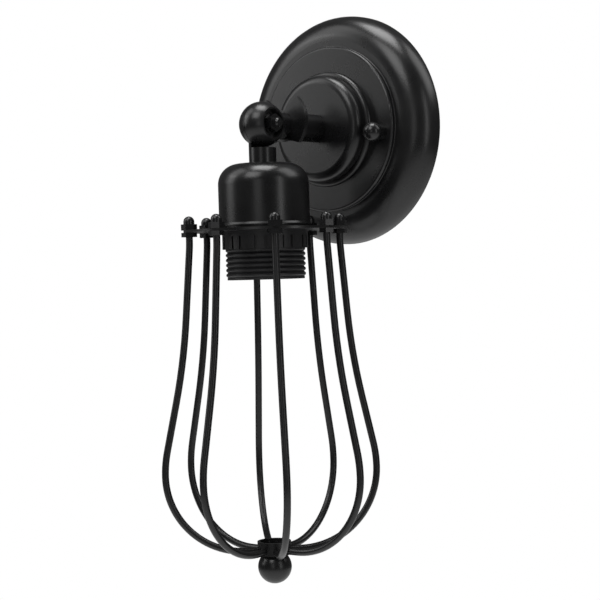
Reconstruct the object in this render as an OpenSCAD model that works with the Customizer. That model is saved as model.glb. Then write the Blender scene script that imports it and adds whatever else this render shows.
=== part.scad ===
// Cage wall light: round canopy, short arm, ball knuckle that tilts the lamp head,
// socket cup with a threaded lampholder, and an eight-wire pear-shaped cage.
//
// Frame: millimetres, +Z up, the wall is the plane Y = 0 and the lamp stands out along -Y.
// The origin is the centre of the canopy's back.

/* [Canopy] */
// Outer diameter of the canopy
canopy_d = 121; // [112:0.1:140]
// Sheet thickness of the canopy
canopy_wall = 1.2; // [0.8:0.1:1.6]
// Radius of the quarter round that forms the outer band
band_round = 13.5; // [10:0.1:14]
// Depth of the outer band, from the wall to its top
band_depth = 15; // [14.5:0.1:18]
// Diameter of the raised plateau inside the band
plateau_d = 86.6; // [84:0.1:94]
// Step up from the band to the plateau
plateau_step = 2.7; // [2:0.1:4]
// Edge radius of the plateau
plateau_round = 1.2; // [1:0.1:2]
// Diameter of the round boss that carries the arm
boss_d = 55.8; // [50:0.1:57]
// Height of the boss above the plateau
boss_step = 9.9; // [8:0.1:12]
// Edge radius of the boss
boss_round = 4.8; // [2:0.1:6]
// Section radius of the bead round the foot of the boss
bead_round = 2.3; // [1.5:0.1:2.5]

/* [Wall strap] */
// Distance from the wall screws to the strap's ends
strap_end = 5.5; // [4:0.1:7]
// Width of the wall strap
strap_w = 16; // [14:0.5:20]
// Thickness of the wall strap
strap_t = 2; // [1.5:0.1:3]
// Spacing of the two wall screws
wall_screw_spacing = 88.9; // [84:0.1:90]
// Diameter of the wall screw holes
wall_screw_hole_d = 4.8; // [4:0.1:5.5]
// Diameter of the strap's middle hole
strap_middle_hole_d = 10; // [8:0.5:11]
// Spacing of the two canopy studs
stud_spacing = 71.2; // [70:0.1:73]
// Diameter of the canopy studs
stud_d = 4; // [3:0.1:5]
// How far the strap and its studs are turned from level
strap_turn = 7; // [0:0.5:15]
// Diameter of the ball nuts
ball_nut_d = 10; // [9:0.1:12]
// Diameter of the ball nuts' foot
ball_nut_foot_d = 8.6; // [7:0.1:8.8]
// Height of the ball nuts' foot
ball_nut_foot_h = 3.6; // [2:0.1:5]

/* [Arm] */
// Distance from the wall to the tilt axis
pivot_out = 68.6; // [66:0.1:75]
// Diameter of the arm tube
arm_d = 14.4; // [13.5:0.1:16]
// Length of the arm tube
arm_length = 23.3; // [20:0.1:24]
// Thickness of the wing nut
wing_t = 2.4; // [2:0.1:2.8]
// Radius of the wing nut's round ends
wing_r = 15.6; // [14:0.1:17]
// How far the centre of the round ends lies above the arm axis
wing_lift = 2.4; // [0:0.1:3]
// Diameter of the wing nut's hub
wing_hub_d = 16; // [14.5:0.1:18]
// Half the height of the wings at the hub
wing_waist = 6.2; // [5.8:0.1:7]
// Slant of the wings' upper edges
wing_top_slant = 37; // [20:1:45]
// Slant of the wings' lower edges
wing_foot_slant = 15; // [5:1:30]
// Thread diameter of the hollow nipples
nipple_d = 10; // [9.6:0.1:10.2]
// Bore of the hollow nipples
nipple_bore_d = 7.4; // [7.2:0.1:7.6]

/* [Knuckle] */
// Diameter of the knuckle ball
ball_d = 22.8; // [21:0.1:25]
// Diameter of the knuckle's necks
neck_d = 13.7; // [13:0.1:14.3]
// Gap between the ball and the neck of the other half
shoulder_gap = 0.4; // [0.2:0.1:0.8]
// Position of the seam between the two halves, along the tilt axis
seam_x = -1.55; // [-1.7:0.05:-1]
// Gap between the two halves at the seam
seam_gap = 0.3; // [0.2:0.05:0.5]
// Distance from the tilt axis to the top of the socket cup
neck_length = 19.6; // [19.5:0.1:25]
// Position of the ball's flat on the nut side
nut_flat_x = 8; // [7.4:0.1:8.4]
// Diameter of the nut recess
nut_recess_d = 14.4; // [13.4:0.1:15]
// Position of the nut recess's floor
nut_floor_x = 3.4; // [3:0.1:4]
// Position of the ball's flat on the head side
head_flat_x = 9; // [8.6:0.1:9.6]
// Position of the head recess's floor
head_floor_x = 6.4; // [6:0.1:6.8]
// Diameter of the pivot screw
pivot_d = 5; // [4.5:0.1:5.4]
// Running clearance of the pivot screw, on the radius
pivot_clearance = 0.05; // [0.02:0.01:0.1]
// Outer diameter of the pivot washer
washer_d = 12.4; // [10:0.1:13]
// Thickness of the pivot washer
washer_t = 1.3; // [0.8:0.1:1.6]
// Thickness of the spring washer
spring_washer_t = 1.2; // [0.8:0.1:1.6]
// Size of the pivot nut across its flats
pivot_nut_af = 8; // [7.5:0.1:8.6]
// Thickness of the pivot nut
pivot_nut_t = 3.8; // [3:0.1:4.5]
// How far the screw's round end stands out of the nut
pivot_end = 2.6; // [1:0.1:3]

/* [Socket cup] */
// Outer diameter of the socket cup
cup_d = 45.6; // [45.2:0.1:52]
// Length of the socket cup
cup_length = 31; // [30:0.1:36]
// Wall thickness of the socket cup
cup_wall = 1.4; // [1:0.1:1.6]
// Radius of the cup's shoulder
cup_round = 10.3; // [6:0.1:10.3]
// How far the cup's lip stands out
lip_flare = 0.5; // [0.3:0.1:1.2]
// Height of the cup's lip
lip_height = 1.5; // [1.5:0.1:4]

/* [Lampholder] */
// Thread diameter of the skirt
skirt_d = 40; // [39.6:0.1:40.4]
// Thread pitch of the skirt
skirt_pitch = 2.5; // [2:0.1:3]
// Thread depth of the skirt
thread_depth = 0.9; // [0.5:0.1:1]
// Length of the skirt below the cage ring
skirt_length = 24.3; // [22:0.1:28]
// Height of the skirt's plain end band
skirt_band = 1.2; // [0.8:0.1:3]
// Diameter of the skirt's flange
flange_d = 43.8; // [43.4:0.1:45]
// Thickness of the skirt's flange
flange_t = 1.5; // [1:0.1:2]
// Wall of the skirt, inside the thread
skirt_wall = 3; // [2.6:0.1:3.2]
// Inner diameter of the screw shell
shell_bore_d = 26.4; // [26:0.1:26.8]
// Length of the screw shell
shell_length = 24; // [20:0.1:25]
// Sheet thickness of the screw shell
shell_t = 0.5; // [0.4:0.05:0.7]
// Wall of the insulating sleeve round the shell
sleeve_wall = 1.9; // [1.5:0.1:2.1]
// Thickness of the lampholder's core disc
core_t = 4.3; // [3.5:0.1:6]
// Wall of the lampholder's cap
cap_wall = 2; // [1.6:0.1:2.2]
// Outer diameter of the retaining ring
retainer_d = 43; // [42.6:0.1:44]
// Height of the retaining ring
retainer_h = 8.9; // [7:0.1:10]
// Height of the retaining ring's plain band
retainer_band = 2.6; // [2:0.1:4]
// Depth of the retaining ring's grip notches
notch_depth = 0.8; // [0.4:0.1:0.9]
// Number of grip notch pairs round the retaining ring
notch_pairs = 10; // [6:1:12]

/* [Cage] */
// Number of cage wires, which the wire nodes expect to be eight
wire_count = 8; // [8:1:8]
// How far the first wire stands from the front, turning toward +X
cage_turn = 4; // [0:0.5:20]
// Diameter of the cage wire
wire_d = 3.5; // [2.8:0.1:3.7]
// Diameter of the circle of wires in the cage ring
wire_circle_d = 76; // [74:0.1:80]
// Width of the cage ring outside the circle of wires
cage_ring_rim = 2.75; // [2.6:0.05:5]
// Thickness of the cage ring
cage_ring_t = 1.2; // [1:0.1:2]
// Length of straight wire below the cage ring
stub_below = 4; // [3:0.1:6]
// Lean of the wires' upper stretch
upper_lean = 4.5; // [2:0.1:6]
// Lean of the wires' flared stretch
flare_lean = 12.2; // [10:0.1:15]
// Bend radius under the cage ring
top_bend_r = 60; // [20:1:80]
// Bend radius where the wires start to flare
flare_bend_r = 320; // [200:5:360]
// Bend radius above the widest point
belly_bend_r = 58; // [40:1:70]
// Bend radius of the cage floor
floor_bend_r = 39.5; // [34:0.1:42]
// Radius of the cage, to the wire's centre, at its widest point
belly_r = 53.6; // [51:0.1:57]
// Distance from the tilt axis to the cage's widest point
belly_drop = 174.4; // [168:0.1:190]
// Size of the cap nuts across their flats
cap_nut_af = 7; // [6.6:0.1:7.4]
// Height of the cap nuts' hexagon
cap_nut_hex_h = 3; // [2.6:0.1:4]
// Diameter of the cap nuts' dome
cap_dome_d = 5.5; // [5:0.1:5.8]
// Height of the cap nuts' straight neck under the dome
cap_neck_h = 1.2; // [0.8:0.1:2]
// Size of the under nuts across their flats
under_nut_af = 6.8; // [6:0.1:7.4]
// Thickness of the under nuts
under_nut_t = 2.2; // [1.5:0.1:3]

/* [Finial] */
// Outer diameter of the collar that joins the wires
collar_d = 17; // [15:0.1:20]
// Height of the collar
collar_h = 6.6; // [5.5:0.1:9]
// Wall of the collar
collar_wall = 1.5; // [1:0.1:2]
// How far the collar's foot lies below the wires' centre
collar_below = 2.1; // [1.9:0.1:2.6]
// Diameter of the finial ball
finial_d = 17; // [14:0.1:20]
// Diameter of the finial ball's flat seat
finial_seat_d = 11.4; // [9:0.1:12]
// Diameter of the finial screw
finial_screw_d = 4; // [3:0.1:4.4]
// Depth to which the finial screw enters the ball
finial_screw_depth = 7; // [5:0.1:9]

/* [Wiring] */
// Diameter of one insulated lead
lead_d = 1.5; // [1.2:0.1:1.7]
// Distance between the centres of the two leads
lead_spacing = 1.8; // [1.8:0.1:2]
// Bend radius of the leads in the lampholder
lead_bend_r = 3; // [2:0.1:3.2]
// Distance of the lampholder's terminals from its axis
terminal_r = 9; // [8:0.1:11]
// Length of the terminal block
block_length = 17; // [14:0.5:20]
// Width of the terminal block
block_w = 12; // [10:0.5:14]
// Height of the terminal block
block_h = 10; // [8:0.5:12]
// Distance from the arm axis to the terminal block
block_x = 11; // [9:0.5:12]

/* [Hidden] */
$fn = 64;

black_paint = [0.06, 0.06, 0.065];
black_plastic = [0.09, 0.09, 0.09];
zinc = [0.72, 0.73, 0.75];
brass = [0.78, 0.62, 0.3];
ceramic = [0.93, 0.92, 0.88];
live_brown = [0.42, 0.22, 0.1];
neutral_blue = [0.15, 0.3, 0.65];

// Clearances, all on the radius
thread_fit = 0.05;
loose_fit = 0.2;
hole_fit = 0.1;
// Overshoot of a cut, so that it leaves no skin
cut = 1;
hex_sides = 6;
hex_corner = 1 / cos(30);
// Joints of the bent rods
hairline = 0.01;
core_share = 0.8;

// Canopy
canopy_r = canopy_d / 2;
band_flat_r = canopy_r - band_round;
rim_height = band_depth - band_round;
plateau_r = plateau_d / 2;
plateau_depth = band_depth + plateau_step;
plateau_fillet = 0.5;
boss_r = boss_d / 2;
boss_depth = plateau_depth + boss_step;
nipple_r = nipple_d / 2;
nipple_bore_r = nipple_bore_d / 2;

// Wall strap
strap_length = wall_screw_spacing + 2 * strap_end;
stud_r = stud_d / 2;
strap_hole_r = stud_r + thread_fit;
stud_into_nut = 5;
ball_nut_r = ball_nut_d / 2;
ball_nut_bore_depth = stud_into_nut + 0.6;
earth_x = -19;
earth_screw_d = 4;
earth_head_d = 7.5;
earth_head_h = 2.4;
earth_washer_d = 9;
earth_washer_t = 0.8;
slot_w = 1;
slot_depth = 1;
slot_length_share = 1.2;

// Arm
locknut_af = 14;
locknut_t = 2.8;
locknut_r = locknut_af / 2 * hex_corner;
lock_washer_r = 8.4;
lock_washer_t = 0.8;
boss_inside = boss_depth - canopy_wall;
arm_nipple_start = boss_inside - lock_washer_t - locknut_t - 1.5;
arm_r = arm_d / 2;
arm_front = boss_depth + arm_length;
wing_front = arm_front + wing_t;
wing_far = 2 * wing_r;

// Knuckle
ball_r = ball_d / 2;
neck_r = neck_d / 2;
shoulder = ball_r + shoulder_gap;
rear_neck_length = pivot_out - wing_front;
arm_grip = shoulder + 0.2;
neck_grip = shoulder + 2;
neck_nipple_depth = 0.6;
nut_side_face = seam_x + seam_gap / 2;
head_side_face = seam_x - seam_gap / 2;
pivot_r = pivot_d / 2;
hub_r = 4;
channel_r = 8.2;
channel_depth = 2.2;
lead_passage_r = 2.2;
head_recess_r = 4.9;
pivot_head_r = 4.4;
pivot_head_h = 2.2;
pivot_end_round = 1;
washer_face = nut_floor_x + washer_t;
nut_face = washer_face + spring_washer_t;
nut_end = nut_face + pivot_nut_t;
screw_end = nut_end + pivot_end;
spring_washer_r = 4.5;
spring_washer_cut = 0.8;

// Socket cup, as distances below the tilt axis
cup_r = cup_d / 2;
cup_top = neck_length;
cup_bottom = cup_top + cup_length;
cup_bore_r = cup_r - cup_wall;
cup_washer_top = cup_top + cup_wall;
cup_nut_top = cup_washer_top + lock_washer_t;
cup_nut_bottom = cup_nut_top + locknut_t;
cap_top = cup_nut_bottom + 0.8;
cap_boss_h = 3.4;
neck_nipple_end = cap_top + cap_boss_h + 1;
cap_boss_r = 8;

// Lampholder
flange_r = flange_d / 2;
flange_bottom = cup_bottom + flange_t;
ring_top = flange_bottom;
ring_bottom = ring_top + cage_ring_t;
skirt_r = skirt_d / 2;
skirt_root_r = skirt_r - thread_depth;
skirt_bottom = ring_bottom + skirt_length;
skirt_bore_r = skirt_root_r - skirt_wall;
thread_end = skirt_bottom - skirt_band - skirt_pitch / 2;
thread_turns = floor((thread_end - ring_bottom) / skirt_pitch);
crest_share = 0.3;
band_inset = 0.3;
cap_r = cup_bore_r - 0.6;
cap_bore_r = cap_r - cap_wall;
spigot_r = cap_bore_r - hole_fit;
spigot_h = 4.5;
spigot_top = cup_bottom - spigot_h;
core_bottom = spigot_top - 0.2;
core_top = core_bottom - core_t;
core_r = cap_bore_r - hole_fit;
shell_r = shell_bore_d / 2 + shell_t;
sleeve_bore_r = shell_r + hole_fit;
sleeve_r = sleeve_bore_r + sleeve_wall;
shell_bottom = core_bottom + shell_length;
sleeve_bottom = shell_bottom + 1;
shell_lip = 3.5;
shell_foot_h = 2.2;
contact_r = 4.2;
contact_t = 0.8;
rivet_r = 1.5;
terminal_plate_t = 1.2;
terminal_plate_r = 2.6;
terminal_head_r = 2;
terminal_head_h = 1.6;
terminal_y = 4.2;
retainer_r = retainer_d / 2;
retainer_fit = 0.15;
retainer_bottom = ring_bottom + retainer_h;
wide_pad = 19;
narrow_pad = 9.6;

// Cage
wire_r = wire_d / 2;
wire_circle_r = wire_circle_d / 2;
cage_ring_r = wire_circle_r + cage_ring_rim;
wire_hole_r = wire_r + hole_fit;
cap_bore_depth = 4.8;
wire_top = ring_top - cap_bore_depth + 0.3;
stub_length = ring_bottom + stub_below - wire_top;
stub_bottom = ring_bottom + stub_below;
cap_dome_r = cap_dome_d / 2;
// Reach and drop of the bends between the stub and the widest point
bends_out = top_bend_r * (1 - cos(upper_lean))
    + flare_bend_r * (cos(upper_lean) - cos(flare_lean))
    + belly_bend_r * (1 - cos(flare_lean));
bends_down = top_bend_r * sin(upper_lean)
    + flare_bend_r * (sin(flare_lean) - sin(upper_lean))
    + belly_bend_r * sin(flare_lean);
// The two straight runs make up what the bends leave over
left_out = belly_r - wire_circle_r - bends_out;
left_down = belly_drop - stub_bottom - bends_down;
lean_apart = sin(flare_lean - upper_lean);
upper_run = (left_down * sin(flare_lean) - left_out * cos(flare_lean)) / lean_apart;
flare_run = (left_out * cos(upper_lean) - left_down * sin(upper_lean)) / lean_apart;
floor_drop = belly_drop + floor_bend_r;

// Finial
collar_r = collar_d / 2;
floor_run = belly_r - floor_bend_r - collar_r;
collar_bottom = floor_drop + collar_below;
collar_top = collar_bottom - collar_h;
collar_floor = collar_bottom - collar_wall;
finial_r = finial_d / 2;
finial_seat_r = finial_seat_d / 2;
finial_drop = collar_bottom + sqrt(finial_r * finial_r - finial_seat_r * finial_seat_r);
finial_screw_r = finial_screw_d / 2;
finial_head_r = 3.4;
finial_head_h = 2.4;

// Wiring
lead_r = lead_d / 2;
lead_side = lead_spacing / 2;
lead_end = hub_r + 1.4;
lamp_lead_x = head_side_face - lead_r - 0.1;
block_out = strap_t + block_h / 2;
supply_bend_r = 6;
lead_gap = 0.3;
block_screw_r = 1.7;
block_head_r = 2.6;

// Places that lie out from the wall: local z runs along -Y, local y is up
module from_wall() {
    rotate([90, 0, 0]) children();
}

// Places on the strap, which is turned a little from level
module on_strap() {
    from_wall() rotate([0, 0, -strap_turn]) children();
}

// Places on the hanging lamp head: local z is the distance below the tilt axis
module below_pivot() {
    translate([0, -pivot_out, 0]) mirror([0, 0, 1]) children();
}

// Places along the tilt axis: local z runs along +X from the middle of the ball
module along_pivot() {
    translate([0, -pivot_out, 0]) rotate([0, 90, 0]) children();
}

// One of two mirrored places at a distance x
module both_sides(x) {
    for (side = [-1, 1]) translate([side * x, 0, 0]) children();
}

// A round pipe from z0 to z1
module pipe(outer, inner, z0, z1) {
    difference() {
        translate([0, 0, z0]) cylinder(r = outer, h = z1 - z0);
        translate([0, 0, z0 - cut]) cylinder(r = inner, h = z1 - z0 + 2 * cut);
    }
}

// A hexagonal nut from z0 to z1 with a plain round bore
module hex_nut(across_flats, bore, z0, z1) {
    difference() {
        translate([0, 0, z0])
            cylinder(r = across_flats / 2 * hex_corner, h = z1 - z0, $fn = hex_sides);
        translate([0, 0, z0 - cut]) cylinder(r = bore, h = z1 - z0 + 2 * cut);
    }
}

// A half section with one rounded corner, from the axis out to a radius and a depth
module rounded_step(radius, depth, corner) {
    square([radius - corner, depth]);
    square([radius, depth - corner]);
    translate([radius - corner, depth - corner]) circle(corner);
}

// A rod that starts at [x, z] and follows straight runs and bends in the plane y = 0.
// A move is ["run", length] or ["bend", angle, radius]. The heading is measured from +z,
// and grows toward +x. Each stretch but the last stops a hairline short of the next, and
// a core inside the joint ties the two together.
module rod(radius, at, heading, moves, i = 0) {
    if (i < len(moves)) {
        move = moves[i];
        turning = move[0] == "bend";
        turn = turning ? move[1] : 0;
        side = turn > 0 ? 1 : -1;
        centre = turning ? at + side * move[2] * [cos(heading), -sin(heading)] : at;
        next_heading = heading + turn;
        next_at = turning
            ? centre - side * move[2] * [cos(next_heading), -sin(next_heading)]
            : at + move[1] * [sin(heading), cos(heading)];
        last = i == len(moves) - 1;
        short = last ? 0 : hairline;
        if (turning) {
            sweep = abs(turn) - short / move[2] * 180 / PI;
            translate([centre.x, 0, centre.y])
                rotate([90, 0, 0])
                    rotate([0, 0, turn > 0 ? 180 - heading - sweep : -heading])
                        rotate_extrude(angle = sweep) translate([move[2], 0]) circle(radius);
        } else
            translate([at.x, 0, at.y]) rotate([0, heading, 0])
                cylinder(r = radius, h = move[1] - short);
        if (!last) translate([next_at.x, 0, next_at.y]) sphere(radius * core_share);
        rod(radius, next_at, next_heading, moves, i + 1);
    }
}

// The canopy's half section, inset by a sheet thickness for its hollow
module canopy_section(inset) {
    square([band_flat_r, band_depth - inset]);
    square([canopy_r - inset, rim_height]);
    intersection() {
        translate([band_flat_r, rim_height]) circle(band_round - inset);
        translate([band_flat_r - inset, 0]) square([band_round + inset, band_depth]);
    }
    rounded_step(plateau_r - inset, plateau_depth - inset, plateau_round - inset / 2);
    rounded_step(boss_r - inset, boss_depth - inset, boss_round - inset / 2);
}

module canopy() color(black_paint) {
    from_wall() difference() {
        rotate_extrude() difference() {
            union() {
                canopy_section(0);
                translate([boss_r, plateau_depth]) circle(bead_round);
                difference() {
                    translate([plateau_r, band_depth - cut]) square(plateau_fillet + cut);
                    translate([plateau_r + plateau_fillet, band_depth + plateau_fillet])
                        circle(plateau_fillet);
                    translate([plateau_r, band_depth + plateau_fillet]) square(cut);
                    translate([plateau_r + plateau_fillet, band_depth]) square(cut);
                }
            }
            canopy_section(canopy_wall);
            square([canopy_r - canopy_wall, rim_height / 2]);
        }
        cylinder(r = nipple_r + loose_fit, h = boss_depth + cut);
        rotate([0, 0, -strap_turn])
            both_sides(stud_spacing / 2) cylinder(r = stud_r + loose_fit, h = boss_depth);
    }
}

module mounting_strap() color(zinc) {
    on_strap() difference() {
        intersection() {
            translate([-strap_length / 2, -strap_w / 2, 0]) cube([strap_length, strap_w, strap_t]);
            cylinder(r = strap_length / 2, h = strap_t);
        }
        translate([0, 0, -cut]) {
            cylinder(r = strap_middle_hole_d / 2, h = strap_t + 2 * cut);
            both_sides(wall_screw_spacing / 2)
                cylinder(r = wall_screw_hole_d / 2, h = strap_t + 2 * cut);
            both_sides(stud_spacing / 2) cylinder(r = strap_hole_r, h = strap_t + 2 * cut);
            translate([earth_x, 0, 0])
                cylinder(r = earth_screw_d / 2 + thread_fit, h = strap_t + 2 * cut);
            translate([block_x + block_length / 2, 0, 0])
                cylinder(r = block_screw_r + thread_fit, h = strap_t + 2 * cut);
        }
    }
}

module canopy_studs() color(zinc) {
    on_strap() both_sides(stud_spacing / 2)
        cylinder(r = stud_r, h = plateau_depth + stud_into_nut);
}

module canopy_ball_nuts() color(black_paint) {
    rise = sqrt(ball_nut_r * ball_nut_r - pow(ball_nut_foot_d / 2, 2));
    on_strap() both_sides(stud_spacing / 2) translate([0, 0, plateau_depth]) difference() {
        union() {
            cylinder(r = ball_nut_foot_d / 2, h = ball_nut_foot_h);
            translate([0, 0, ball_nut_foot_h]) intersection() {
                translate([0, 0, rise]) sphere(ball_nut_r);
                cylinder(r = ball_nut_d, h = 2 * ball_nut_d);
            }
        }
        translate([0, 0, -cut]) cylinder(r = stud_r + thread_fit, h = ball_nut_bore_depth + cut);
    }
}

module earth_screw() color(brass) {
    top = strap_t + earth_washer_t + earth_head_h;
    on_strap() translate([earth_x, 0, 0]) difference() {
        union() {
            cylinder(r = earth_screw_d / 2, h = top - earth_head_h);
            translate([0, 0, strap_t]) cylinder(r = earth_washer_d / 2, h = earth_washer_t);
            translate([0, 0, top - earth_head_h]) cylinder(r = earth_head_d / 2, h = earth_head_h);
        }
        translate([-earth_head_d * slot_length_share / 2, -slot_w / 2, top - slot_depth])
            cube([earth_head_d * slot_length_share, slot_w, slot_depth + cut]);
    }
}

module terminal_block() color(ceramic) {
    on_strap() translate([block_x, 0, strap_t]) difference() {
        union() {
            translate([0, -block_w / 2, 0]) cube([block_length, block_w, block_h - 3]);
            for (y = [-block_w / 4, block_w / 4])
                translate([0, y - block_w / 6, 0]) cube([block_length, block_w / 3, block_h]);
        }
        translate([block_length / 2, 0, -cut])
            cylinder(r = block_screw_r + hole_fit, h = block_h + 2 * cut);
        translate([block_length / 2, 0, block_h - 3])
            cylinder(r = block_head_r + hole_fit, h = block_h);
        for (x = [block_length / 5, block_length * 4 / 5], y = [-block_w / 4, block_w / 4])
            translate([x, y, block_h - 3]) cylinder(r = block_screw_r, h = 3 + cut);
    }
}

module terminal_block_screws() color(brass) {
    head_h = 1.6;
    on_strap() translate([block_x, 0, 0]) {
        for (x = [block_length / 5, block_length * 4 / 5], y = [-block_w / 4, block_w / 4])
            translate([x, y, strap_t + block_h - 3]) difference() {
                cylinder(r = block_screw_r - hole_fit, h = head_h);
                translate([-block_screw_r, -slot_w / 4, head_h - slot_depth / 2])
                    cube([2 * block_screw_r, slot_w / 2, slot_depth]);
            }
        translate([block_length / 2, 0, 0]) {
            cylinder(r = block_screw_r, h = strap_t + block_h - 3);
            translate([0, 0, strap_t + block_h - 3]) cylinder(r = block_head_r, h = head_h);
        }
    }
}

// A supply lead leaves the terminal block toward the arm axis, turns, and runs out
// through the arm to the hollow in the knuckle. The strap's turn needs a small gap.
module supply_lead(side) {
    bend_end = block_out + supply_bend_r;
    from_wall() translate([0, side * lead_side, 0])
        rod(lead_r, [block_x - lead_gap, block_out], -90, [
            ["run", block_x - lead_gap - supply_bend_r],
            ["bend", 90, supply_bend_r],
            ["run", pivot_out - lead_end - bend_end],
        ]);
}

module supply_lead_live() color(live_brown) supply_lead(1);

module supply_lead_neutral() color(neutral_blue) supply_lead(-1);

module arm_nipple() color(zinc) {
    from_wall()
        pipe(nipple_r, nipple_bore_r, arm_nipple_start, pivot_out - arm_grip - neck_nipple_depth);
}

module arm_lock_washer() color(zinc) {
    from_wall()
        pipe(lock_washer_r, nipple_r + loose_fit, boss_inside - lock_washer_t, boss_inside);
}

module arm_locknut() color(zinc) {
    washer_back = boss_inside - lock_washer_t;
    from_wall()
        hex_nut(locknut_af, nipple_r + thread_fit, washer_back - locknut_t, washer_back);
}

module arm_tube() color(black_paint) {
    from_wall() pipe(arm_r, nipple_r + loose_fit, boss_depth, arm_front);
}

// A flat nut with a wing on each side, which locks the knuckle's neck to the arm
module arm_wing_nut() color(black_paint) {
    top_far = wing_waist + wing_far * tan(wing_top_slant);
    foot_far = wing_waist + wing_far * tan(wing_foot_slant);
    from_wall() translate([0, 0, arm_front]) difference() {
        union() {
            cylinder(r = wing_hub_d / 2, h = wing_t);
            intersection() {
                translate([0, wing_lift, 0]) cylinder(r = wing_r, h = wing_t);
                linear_extrude(height = wing_t) polygon([
                    [0, wing_waist], [wing_far, top_far], [wing_far, -foot_far],
                    [0, -wing_waist], [-wing_far, -foot_far], [-wing_far, top_far],
                ]);
            }
        }
        translate([0, 0, -cut]) cylinder(r = nipple_r + thread_fit, h = wing_t + 2 * cut);
    }
}

// One half of the knuckle, with its neck along +z. Its ball fills the side where x is
// beyond the seam face, out to a flat with a recess in it.
module knuckle_half(face, flat, floor_at, recess_r, neck_end, grip, passage) {
    difference() {
        union() {
            intersection() {
                rotate([0, 90, 0]) sphere(ball_r);
                translate([face, -ball_r, -ball_r]) cube([flat - face, 2 * ball_r, 2 * ball_r]);
            }
            translate([0, 0, shoulder]) cylinder(r = neck_r, h = neck_end - shoulder);
            intersection() {
                cylinder(r = neck_r, h = shoulder);
                translate([face, -neck_r, 0]) cube([neck_d, neck_d, shoulder]);
            }
        }
        // Recess for the screw's head or nut
        translate([floor_at, 0, 0]) rotate([0, 90, 0]) cylinder(r = recess_r, h = ball_d);
        // Bore for the pivot screw
        rotate([0, 90, 0])
            cylinder(r = pivot_r + pivot_clearance, h = 2 * ball_d, center = true);
        // Ring-shaped hollow in the seam face, in which the leads turn
        translate([face - cut, 0, 0]) rotate([0, 90, 0]) difference() {
            cylinder(r = channel_r, h = channel_depth + cut);
            translate([0, 0, -cut]) cylinder(r = hub_r, h = channel_depth + 3 * cut);
        }
        // Thread for the nipple, and the leads' way on into the hollow
        translate([0, 0, grip]) cylinder(r = nipple_r + thread_fit, h = neck_end);
        translate([passage, 0, hub_r + 1]) cylinder(r = lead_passage_r, h = grip);
    }
}

module arm_knuckle() color(black_paint) {
    translate([0, -pivot_out, 0]) rotate([-90, 0, 0])
        knuckle_half(nut_side_face, nut_flat_x, nut_floor_x, nut_recess_d / 2,
            rear_neck_length, arm_grip, 0);
}

module lamp_knuckle() color(black_paint) {
    translate([0, -pivot_out, 0]) rotate([0, 180, 0])
        knuckle_half(-head_side_face, head_flat_x, head_floor_x, head_recess_r,
            neck_length, neck_grip, -lamp_lead_x);
}

module pivot_screw() color(black_paint) {
    along_pivot() difference() {
        union() {
            translate([0, 0, -head_floor_x])
                cylinder(r = pivot_r, h = head_floor_x + screw_end - pivot_end_round);
            translate([0, 0, screw_end - pivot_end_round])
                cylinder(r1 = pivot_r, r2 = pivot_r - pivot_end_round / 2, h = pivot_end_round);
            translate([0, 0, -head_floor_x - pivot_head_h])
                cylinder(r = pivot_head_r, h = pivot_head_h);
        }
        translate([-pivot_head_r * slot_length_share, -slot_w / 2, -head_floor_x - pivot_head_h - cut])
            cube([2 * pivot_head_r * slot_length_share, slot_w, slot_depth + cut]);
    }
}

module pivot_washer() color(black_paint) {
    along_pivot() pipe(washer_d / 2, pivot_r + loose_fit, nut_floor_x, washer_face);
}

module pivot_spring_washer() color(black_paint) {
    along_pivot() difference() {
        pipe(spring_washer_r, pivot_r + loose_fit, washer_face, nut_face);
        rotate([0, 0, 45]) translate([0, -spring_washer_cut / 2, washer_face - cut])
            cube([2 * spring_washer_r, spring_washer_cut, spring_washer_t + 2 * cut]);
    }
}

module pivot_nut() color(black_paint) {
    along_pivot() hex_nut(pivot_nut_af, pivot_r + thread_fit, nut_face, nut_end);
}

module neck_nipple() color(zinc) {
    below_pivot()
        pipe(nipple_r, nipple_bore_r, neck_grip + neck_nipple_depth, neck_nipple_end);
}

module socket_cup() color(black_paint) {
    below_pivot() difference() {
        translate([0, 0, cup_bottom]) mirror([0, 0, 1]) rotate_extrude() difference() {
            union() {
                rounded_step(cup_r, cup_length, cup_round);
                polygon([
                    [0, 0], [cup_r + lip_flare, 0], [cup_r + lip_flare, lip_height / 3],
                    [cup_r, lip_height], [0, lip_height],
                ]);
            }
            rounded_step(cup_bore_r, cup_length - cup_wall, cup_round - cup_wall);
            square([cup_bore_r, cup_length / 2]);
        }
        translate([0, 0, cup_top - cut]) cylinder(r = nipple_r + loose_fit, h = cup_length);
    }
}

module cup_lock_washer() color(zinc) {
    below_pivot() pipe(lock_washer_r, nipple_r + loose_fit, cup_washer_top, cup_nut_top);
}

module cup_locknut() color(zinc) {
    below_pivot() hex_nut(locknut_af, nipple_r + thread_fit, cup_nut_top, cup_nut_bottom);
}

module lampholder_cap() color(black_plastic) {
    dome_top = cap_top + cap_boss_h - cap_wall;
    below_pivot() difference() {
        union() {
            translate([0, 0, cap_top]) cylinder(r = cap_boss_r, h = cap_boss_h);
            translate([0, 0, cup_bottom]) mirror([0, 0, 1])
                rotate_extrude() rounded_step(cap_r, cup_bottom - dome_top, cup_round);
        }
        translate([0, 0, cup_bottom]) mirror([0, 0, 1]) rotate_extrude() {
            rounded_step(cap_bore_r, cup_bottom - dome_top - cap_wall, cup_round - cap_wall);
            translate([0, -cut]) square([cap_bore_r, cut + spigot_h]);
        }
        translate([0, 0, cap_top - cut]) cylinder(r = nipple_r + thread_fit, h = cap_boss_h + 2 * cut);
    }
}

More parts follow.
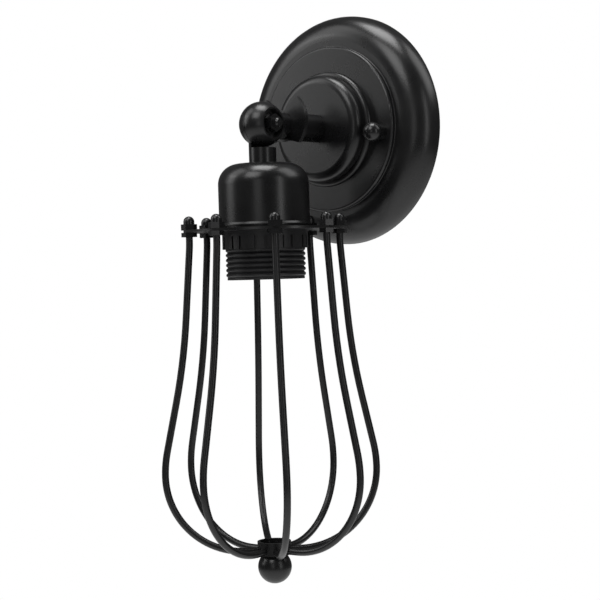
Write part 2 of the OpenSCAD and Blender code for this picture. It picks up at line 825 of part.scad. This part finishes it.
module lampholder_core() color(ceramic) {
    below_pivot() difference() {
        union() {
            translate([0, 0, core_top]) cylinder(r = core_r, h = core_t);
            translate([0, 0, core_bottom - cut])
                cylinder(r = sleeve_r, h = sleeve_bottom - core_bottom + cut);
        }
        translate([0, 0, core_bottom]) cylinder(r = sleeve_bore_r, h = shell_length + 2 * cut);
        translate([0, 0, core_top - cut]) cylinder(r = rivet_r + hole_fit, h = core_t + 2 * cut);
    }
}

module lampholder_skirt() color(black_plastic) {
    crest = skirt_pitch * crest_share / 2;
    flank = skirt_pitch / 2 - crest;
    below_pivot() rotate_extrude() {
        translate([skirt_bore_r, spigot_top]) square([spigot_r - skirt_bore_r, spigot_h + flange_t]);
        translate([skirt_bore_r, cup_bottom]) square([flange_r - skirt_bore_r, flange_t]);
        translate([skirt_bore_r, cup_bottom])
            square([skirt_root_r - skirt_bore_r, skirt_bottom - cup_bottom]);
        translate([skirt_bore_r, skirt_bottom - skirt_band])
            square([skirt_root_r + band_inset - skirt_bore_r, skirt_band]);
        for (i = [0:thread_turns - 1])
            translate([skirt_root_r, thread_end - i * skirt_pitch]) polygon([
                [-cut, -crest - flank], [0, -crest - flank], [thread_depth, -crest],
                [thread_depth, crest], [0, crest + flank], [-cut, crest + flank],
            ]);
    }
}

module screw_shell() color(brass) {
    below_pivot() rotate_extrude() {
        translate([shell_r - shell_t, core_bottom]) square([shell_t, shell_length]);
        polygon([
            [shell_r - shell_lip, core_bottom], [shell_r, core_bottom],
            [shell_r, core_bottom + shell_foot_h], [shell_r - shell_t, core_bottom + shell_foot_h],
            [shell_r - shell_lip, core_bottom + shell_t],
        ]);
    }
}

module centre_contact() color(brass) {
    below_pivot() {
        translate([0, 0, core_bottom]) cylinder(r = contact_r, h = contact_t);
        translate([0, 0, core_bottom + contact_t]) cylinder(r = contact_r / 2, h = contact_t);
        translate([0, 0, core_top]) cylinder(r = rivet_r, h = core_t);
    }
}

module lampholder_terminals() color(brass) {
    below_pivot() both_sides(terminal_r) {
        translate([0, 0, core_top - terminal_plate_t])
            cylinder(r = terminal_plate_r, h = terminal_plate_t);
        translate([-terminal_plate_r, 0, core_top - terminal_plate_t])
            cube([2 * terminal_plate_r, terminal_y, terminal_plate_t]);
        translate([0, terminal_y, core_top - terminal_plate_t])
            cylinder(r = terminal_plate_r, h = terminal_plate_t);
        translate([0, terminal_y, core_top - terminal_plate_t - terminal_head_h])
            cylinder(r = terminal_head_r, h = terminal_head_h);
    }
}

// A lead runs down from the knuckle through the nipple, then steps sideways to a terminal
module lamp_lead(side, target, slant) {
    reach = target - lamp_lead_x;
    sense = reach > 0 ? 1 : -1;
    slant_run = (abs(reach) - 2 * lead_bend_r * (1 - cos(slant))) / sin(slant);
    slant_drop = 2 * lead_bend_r * sin(slant) + slant_run * cos(slant);
    below_pivot() translate([0, side * lead_side, 0])
        rod(lead_r, [lamp_lead_x, lead_end], 0, [
            ["run", core_top - terminal_plate_t - slant_drop - lead_end],
            ["bend", sense * slant, lead_bend_r],
            ["run", slant_run],
            ["bend", -sense * slant, lead_bend_r],
        ]);
}

module lamp_lead_live() color(live_brown) lamp_lead(-1, -terminal_r, 45);

module lamp_lead_neutral() color(neutral_blue) lamp_lead(1, terminal_r, 70);

// One place on the circle of cage wires, with local x pointing away from the lamp's axis
module at_wire(i) {
    rotate([0, 0, cage_turn - 90 + (i - 1) * 360 / wire_count]) children();
}

module cage_ring() color(black_paint) {
    below_pivot() difference() {
        pipe(cage_ring_r, skirt_r + loose_fit, ring_top, ring_bottom);
        for (i = [1:wire_count]) at_wire(i)
            translate([wire_circle_r, 0, ring_top - cut])
                cylinder(r = wire_hole_r, h = cage_ring_t + 2 * cut);
    }
}

module retaining_ring() color(black_plastic) {
    pair = 360 / notch_pairs;
    gap = (pair - wide_pad - narrow_pad) / 2;
    notch_top = ring_bottom + retainer_band;
    below_pivot() difference() {
        pipe(retainer_r, skirt_r + retainer_fit, ring_bottom, retainer_bottom);
        for (i = [0:notch_pairs - 1], start = [wide_pad / 2, wide_pad / 2 + gap + narrow_pad])
            rotate([0, 0, i * pair + start + gap / 2])
                translate([retainer_r - notch_depth, -retainer_r * sin(gap / 2), notch_top])
                    cube([notch_depth + cut, 2 * retainer_r * sin(gap / 2), retainer_h]);
    }
}

module cage_cap_nuts() color(black_paint) {
    neck_top = ring_top - cap_nut_hex_h - cap_neck_h;
    below_pivot() for (i = [1:wire_count]) at_wire(i) translate([wire_circle_r, 0, 0]) difference() {
        union() {
            translate([0, 0, ring_top - cap_nut_hex_h])
                cylinder(r = cap_nut_af / 2 * hex_corner, h = cap_nut_hex_h, $fn = hex_sides);
            translate([0, 0, neck_top]) cylinder(r = cap_dome_r, h = cap_neck_h + cut);
            translate([0, 0, neck_top]) sphere(cap_dome_r);
        }
        translate([0, 0, ring_top - cap_bore_depth])
            cylinder(r = wire_r + thread_fit, h = cap_bore_depth + cut);
    }
}

module cage_under_nuts() color(black_paint) {
    below_pivot() for (i = [1:wire_count]) at_wire(i) translate([wire_circle_r, 0, 0])
        hex_nut(under_nut_af, wire_r + thread_fit, ring_bottom, ring_bottom + under_nut_t);
}

module cage_wire(i) color(black_paint) {
    below_pivot() at_wire(i) rod(wire_r, [wire_circle_r, wire_top], 0, [
        ["run", stub_length],
        ["bend", upper_lean, top_bend_r],
        ["run", upper_run],
        ["bend", flare_lean - upper_lean, flare_bend_r],
        ["run", flare_run],
        ["bend", -flare_lean, belly_bend_r],
        ["bend", -90, floor_bend_r],
        ["run", floor_run],
    ]);
}

module cage_collar() color(black_paint) {
    below_pivot() difference() {
        translate([0, 0, collar_top]) cylinder(r = collar_r, h = collar_h);
        translate([0, 0, collar_top - cut])
            cylinder(r = collar_r - collar_wall, h = collar_floor - collar_top + cut);
        translate([0, 0, collar_top]) cylinder(r = finial_screw_r + hole_fit, h = collar_h + cut);
    }
}

module finial_screw() color(zinc) {
    below_pivot() difference() {
        union() {
            translate([0, 0, collar_floor - finial_head_h])
                cylinder(r = finial_head_r, h = finial_head_h);
            translate([0, 0, collar_floor])
                cylinder(r = finial_screw_r, h = collar_wall + finial_screw_depth);
        }
        translate([-finial_head_r * slot_length_share, -slot_w / 2, collar_floor - finial_head_h - cut])
            cube([2 * finial_head_r * slot_length_share, slot_w, slot_depth + cut]);
    }
}

module finial_ball() color(black_paint) {
    below_pivot() difference() {
        translate([0, 0, finial_drop]) sphere(finial_r);
        translate([0, 0, collar_bottom - finial_d]) cylinder(r = finial_d, h = finial_d);
        translate([0, 0, collar_bottom - cut])
            cylinder(r = finial_screw_r + thread_fit, h = finial_screw_depth + 0.5 + cut);
    }
}

canopy();
mounting_strap();
canopy_studs();
canopy_ball_nuts();
earth_screw();
terminal_block();
terminal_block_screws();
supply_lead_live();
supply_lead_neutral();
arm_nipple();
arm_lock_washer();
arm_locknut();
arm_tube();
arm_wing_nut();
arm_knuckle();
pivot_screw();
pivot_washer();
pivot_spring_washer();
pivot_nut();
lamp_knuckle();
neck_nipple();
socket_cup();
cup_lock_washer();
cup_locknut();
lampholder_cap();
lampholder_core();
lampholder_skirt();
screw_shell();
centre_contact();
lampholder_terminals();
lamp_lead_live();
lamp_lead_neutral();
cage_ring();
retaining_ring();
cage_cap_nuts();
cage_under_nuts();
cage_wire(1);  // wire_1
cage_wire(2);  // wire_2
cage_wire(3);  // wire_3
cage_wire(4);  // wire_4
cage_wire(5);  // wire_5
cage_wire(6);  // wire_6
cage_wire(7);  // wire_7
cage_wire(8);  // wire_8
cage_collar();
finial_screw();
finial_ball();
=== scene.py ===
import math

import bmesh
import bpy
from mathutils import Matrix, Vector

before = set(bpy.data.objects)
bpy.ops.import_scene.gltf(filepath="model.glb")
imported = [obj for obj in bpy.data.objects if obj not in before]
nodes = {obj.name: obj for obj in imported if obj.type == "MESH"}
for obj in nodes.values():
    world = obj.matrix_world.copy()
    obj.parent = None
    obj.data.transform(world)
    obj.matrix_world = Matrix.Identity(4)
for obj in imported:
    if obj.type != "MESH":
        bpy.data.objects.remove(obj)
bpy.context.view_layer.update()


# ---------------------------------------------------------------- camera

AZIMUTH = math.radians(40.5)
PITCH = math.radians(-1.256)
ROLL = math.radians(-1.7)
LEVEL = math.radians(90)
CAMERA_AT = Vector((0.50163, -0.63041, -0.072))
SENSOR_MM = 36.0
LENS_MM = 90.0
NEAREST = 0.01
FARTHEST = 200.0

cam_data = bpy.data.cameras.new("camera")
cam_data.sensor_width = SENSOR_MM
cam_data.lens = LENS_MM
cam_data.clip_start = NEAREST
cam_data.clip_end = FARTHEST
camera = bpy.data.objects.new("camera", cam_data)
bpy.context.scene.collection.objects.link(camera)
camera.matrix_world = (
    Matrix.Translation(CAMERA_AT)
    @ Matrix.Rotation(AZIMUTH, 4, "Z")
    @ Matrix.Rotation(LEVEL + PITCH, 4, "X")
    @ Matrix.Rotation(ROLL, 4, "Z")
)
bpy.context.scene.camera = camera
bpy.context.scene.view_settings.view_transform = "Standard"


# ---------------------------------------------------------------- materials

class Nodes:
    """A small helper that builds a material's node tree."""

    def __init__(self, name):
        self.material = bpy.data.materials.new(name)
        self.material.use_nodes = True
        self.tree = self.material.node_tree
        self.tree.nodes.clear()
        self.out = self.add("ShaderNodeOutputMaterial")
        self.bsdf = self.add("ShaderNodeBsdfPrincipled")
        self.link(self.bsdf, "BSDF", self.out, "Surface")
        self.coords = self.add("ShaderNodeTexCoord")

    def add(self, kind, **values):
        node = self.tree.nodes.new(kind)
        for key, value in values.items():
            if key in node.inputs:
                node.inputs[key].default_value = value
            else:
                setattr(node, key, value)
        return node

    def link(self, a, out, b, into):
        self.tree.links.new(a.outputs[out], b.inputs[into])

    def noise(self, scale, detail=4.0, roughness=0.55, stretch=None):
        node = self.add("ShaderNodeTexNoise", Scale=scale, Detail=detail, Roughness=roughness)
        if stretch:
            mapping = self.add("ShaderNodeMapping")
            mapping.inputs["Scale"].default_value = stretch
            self.link(self.coords, "Object", mapping, "Vector")
            self.link(mapping, "Vector", node, "Vector")
        else:
            self.link(self.coords, "Object", node, "Vector")
        return node

    def span(self, source, low, high, start=0.3, end=0.7, out="Fac"):
        node = self.add("ShaderNodeMapRange")
        node.inputs["From Min"].default_value = start
        node.inputs["From Max"].default_value = end
        node.inputs["To Min"].default_value = low
        node.inputs["To Max"].default_value = high
        self.link(source, out, node, "Value")
        return node

    def two_tone(self, source, dark, light, start=0.35, end=0.65, out="Fac"):
        ramp = self.add("ShaderNodeValToRGB")
        ramp.color_ramp.elements[0].position = start
        ramp.color_ramp.elements[0].color = (*dark, 1)
        ramp.color_ramp.elements[1].position = end
        ramp.color_ramp.elements[1].color = (*light, 1)
        self.link(source, out, ramp, "Fac")
        return ramp

    def bump(self, source, strength, distance, out="Fac", under=None):
        node = self.add("ShaderNodeBump", Strength=strength, Distance=distance)
        self.link(source, out, node, "Height")
        if under:
            self.link(under, "Normal", node, "Normal")
        return node


def black_paint(name, rough_low, rough_high, peel, peel_scale, specular=0.5):
    """Satin black powder coat: a slight orange peel, patches of gloss, and a fine dust."""
    m = Nodes(name)
    broad = m.noise(55.0, 3.0)
    fine = m.noise(peel_scale, 3.0, 0.45)
    speck = m.noise(4200.0, 2.0, 0.6)
    colour = m.two_tone(broad, (0.0050, 0.0050, 0.0053), (0.0080, 0.0080, 0.0084))
    m.link(colour, "Color", m.bsdf, "Base Color")
    gloss = m.span(broad, rough_low, rough_high)
    m.link(gloss, "Result", m.bsdf, "Roughness")
    m.bsdf.inputs["Specular IOR Level"].default_value = specular
    grain = m.bump(speck, 0.12, 0.00002)
    shape = m.bump(fine, peel, 0.00006, under=grain)
    m.link(shape, "Normal", m.bsdf, "Normal")
    return m.material


def black_moulding(name, rough_low, rough_high):
    """Matt black moulded plastic with a fine spark-eroded grain."""
    m = Nodes(name)
    broad = m.noise(70.0, 3.0)
    grain = m.noise(3000.0, 3.0, 0.6)
    colour = m.two_tone(broad, (0.0130, 0.0130, 0.0138), (0.0190, 0.0190, 0.0200))
    m.link(colour, "Color", m.bsdf, "Base Color")
    gloss = m.span(grain, rough_low, rough_high)
    m.link(gloss, "Result", m.bsdf, "Roughness")
    m.bsdf.inputs["Specular IOR Level"].default_value = 0.45
    shape = m.bump(grain, 0.25, 0.00003)
    m.link(shape, "Normal", m.bsdf, "Normal")
    return m.material


def plated(name, dark, light, rough_low, rough_high, stretch):
    """A plated metal with fine drawing lines and cloudy patches."""
    m = Nodes(name)
    cloud = m.noise(120.0, 4.0)
    lines = m.noise(900.0, 3.0, 0.6, stretch=stretch)
    colour = m.two_tone(cloud, dark, light)
    m.link(colour, "Color", m.bsdf, "Base Color")
    m.bsdf.inputs["Metallic"].default_value = 1.0
    gloss = m.span(lines, rough_low, rough_high)
    m.link(gloss, "Result", m.bsdf, "Roughness")
    shape = m.bump(lines, 0.25, 0.00003)
    m.link(shape, "Normal", m.bsdf, "Normal")
    return m.material


def glazed(name):
    """Glazed ceramic with faint clouds and pin marks."""
    m = Nodes(name)
    cloud = m.noise(90.0, 4.0)
    pins = m.noise(1800.0, 2.0)
    colour = m.two_tone(cloud, (0.74, 0.71, 0.64), (0.84, 0.82, 0.76))
    m.link(colour, "Color", m.bsdf, "Base Color")
    gloss = m.span(pins, 0.12, 0.28)
    m.link(gloss, "Result", m.bsdf, "Roughness")
    m.bsdf.inputs["Coat Weight"].default_value = 0.4
    m.bsdf.inputs["Coat Roughness"].default_value = 0.08
    shape = m.bump(pins, 0.15, 0.00003)
    m.link(shape, "Normal", m.bsdf, "Normal")
    return m.material


def sleeve(name, dark, light):
    """Soft lead insulation with faint extrusion lines."""
    m = Nodes(name)
    cloud = m.noise(200.0, 3.0)
    lines = m.noise(1500.0, 2.0, stretch=(1.0, 1.0, 0.15))
    colour = m.two_tone(cloud, dark, light)
    m.link(colour, "Color", m.bsdf, "Base Color")
    gloss = m.span(lines, 0.38, 0.5)
    m.link(gloss, "Result", m.bsdf, "Roughness")
    shape = m.bump(lines, 0.2, 0.00003)
    m.link(shape, "Normal", m.bsdf, "Normal")
    return m.material


spun_paint = black_paint("spun_paint", 0.26, 0.31, 0.22, 900.0)
cast_paint = black_paint("cast_paint", 0.25, 0.31, 0.25, 800.0)
wire_paint = black_paint("wire_paint", 0.27, 0.33, 0.20, 1300.0)
small_paint = black_paint("small_paint", 0.22, 0.28, 0.18, 1500.0)
moulding = black_moulding("moulding", 0.36, 0.48)
zinc_plate = plated("zinc_plate", (0.50, 0.51, 0.53), (0.66, 0.67, 0.69), 0.24, 0.40, (1, 6, 1))
brass_plate = plated("brass_plate", (0.62, 0.45, 0.19), (0.78, 0.60, 0.30), 0.20, 0.34, (1, 1, 5))
ceramic_glaze = glazed("ceramic_glaze")
brown_sleeve = sleeve("brown_sleeve", (0.11, 0.045, 0.02), (0.15, 0.062, 0.028))
blue_sleeve = sleeve("blue_sleeve", (0.02, 0.07, 0.27), (0.03, 0.095, 0.34))

LOOKS = {
    "canopy": spun_paint,
    "socket_cup": spun_paint,
    "cage_ring": spun_paint,
    "arm_tube": cast_paint,
    "arm_wing_nut": cast_paint,
    "arm_knuckle": cast_paint,
    "lamp_knuckle": cast_paint,
    "cage_collar": cast_paint,
    "finial_ball": cast_paint,
    "canopy_ball_nuts": small_paint,
    "pivot_screw": small_paint,
    "pivot_washer": small_paint,
    "pivot_spring_washer": small_paint,
    "pivot_nut": small_paint,
    "cage_cap_nuts": small_paint,
    "cage_under_nuts": small_paint,
    "lampholder_cap": moulding,
    "lampholder_skirt": moulding,
    "retaining_ring": moulding,
    "mounting_strap": zinc_plate,
    "canopy_studs": zinc_plate,
    "arm_nipple": zinc_plate,
    "arm_lock_washer": zinc_plate,
    "arm_locknut": zinc_plate,
    "neck_nipple": zinc_plate,
    "cup_lock_washer": zinc_plate,
    "cup_locknut": zinc_plate,
    "finial_screw": zinc_plate,
    "earth_screw": brass_plate,
    "terminal_block_screws": brass_plate,
    "screw_shell": brass_plate,
    "centre_contact": brass_plate,
    "lampholder_terminals": brass_plate,
    "terminal_block": ceramic_glaze,
    "lampholder_core": ceramic_glaze,
    "supply_lead_live": brown_sleeve,
    "lamp_lead_live": brown_sleeve,
    "supply_lead_neutral": blue_sleeve,
    "lamp_lead_neutral": blue_sleeve,
}
for i in range(1, 9):
    LOOKS[f"wire_{i}"] = wire_paint


def dress(obj, material):
    obj.data.materials.clear()
    obj.data.materials.append(material)


for name, material in LOOKS.items():
    dress(nodes[name], material)


# ---------------------------------------------------------------- stage

WHITE = (1, 1, 1, 1)
FLOOR_RADIUS = 2.6
FLOOR_SIDES = 96
FLOOR_HEIGHT = -0.9
FLOOR_GLOW = 0.42


def floor():
    """A plain pale floor, wide enough for the side views and below the main picture."""
    mesh = bpy.data.meshes.new("floor")
    bm = bmesh.new()
    bmesh.ops.create_circle(bm, cap_ends=True, segments=FLOOR_SIDES, radius=FLOOR_RADIUS)
    bm.to_mesh(mesh)
    bm.free()
    obj = bpy.data.objects.new("floor", mesh)
    obj.location = (0.0, 0.0, FLOOR_HEIGHT)
    bpy.context.scene.collection.objects.link(obj)
    m = Nodes("floor_paint")
    tone = m.noise(0.7, 2.0)
    colour = m.two_tone(tone, (0.86, 0.86, 0.86), (0.89, 0.89, 0.89))
    m.link(colour, "Color", m.bsdf, "Base Color")
    m.bsdf.inputs["Roughness"].default_value = 0.9
    m.bsdf.inputs["Specular IOR Level"].default_value = 0.1
    m.bsdf.inputs["Emission Color"].default_value = WHITE
    m.bsdf.inputs["Emission Strength"].default_value = FLOOR_GLOW
    dress(obj, m.material)


floor()


# The middle of the light fitting, which every softbox faces
MIDDLE = Vector((0.0, -0.06, -0.07))

# Name, direction from the middle, distance, width, height and watts
SOFTBOXES = [
    ("key_top", (0.02, -0.04, 1.0), 1.2, 0.6, 0.6, 8.5),
    ("front_top", (0.10, -0.70, 0.71), 1.2, 0.6, 0.6, 4.2),
    ("right_top", (0.555, 0.438, 0.707), 1.3, 0.7, 0.9, 4.6),
    ("left_top", (-0.555, -0.438, 0.707), 1.3, 0.6, 0.8, 2.8),
    ("left_side", (-0.74, -0.60, 0.32), 1.3, 0.5, 0.7, 2.4),
    ("right_side", (0.99, -0.10, 0.16), 1.3, 0.22, 1.0, 1.6),
    ("front", (0.45, -0.89, 0.10), 1.3, 0.4, 0.6, 0.6),
]


def softbox(name, direction, distance, width, height, watts):
    light = bpy.data.lights.new(name, "AREA")
    light.shape = "RECTANGLE"
    light.size = width
    light.size_y = height
    light.energy = watts
    obj = bpy.data.objects.new(name, light)
    obj.location = MIDDLE + Vector(direction).normalized() * distance
    toward = MIDDLE - obj.location
    obj.rotation_euler = toward.to_track_quat("-Z", "Y").to_euler()
    bpy.context.scene.collection.objects.link(obj)


for box in SOFTBOXES:
    softbox(*box)


BACKDROP_STRENGTH = 1.0
FILL_STRENGTH = 0.09


def studio_world():
    """A white backdrop for the camera, and a faint fill for everything else."""
    world = bpy.data.worlds.new("studio")
    bpy.context.scene.world = world
    world.use_nodes = True
    tree = world.node_tree
    tree.nodes.clear()

    def background(strength):
        node = tree.nodes.new("ShaderNodeBackground")
        node.inputs["Color"].default_value = WHITE
        node.inputs["Strength"].default_value = strength
        return node

    out = tree.nodes.new("ShaderNodeOutputWorld")
    mix = tree.nodes.new("ShaderNodeMixShader")
    path = tree.nodes.new("ShaderNodeLightPath")
    seen = background(BACKDROP_STRENGTH)
    fill = background(FILL_STRENGTH)
    tree.links.new(path.outputs["Is Camera Ray"], mix.inputs["Fac"])
    tree.links.new(fill.outputs["Background"], mix.inputs[1])
    tree.links.new(seen.outputs["Background"], mix.inputs[2])
    tree.links.new(mix.outputs["Shader"], out.inputs["Surface"])


studio_world()
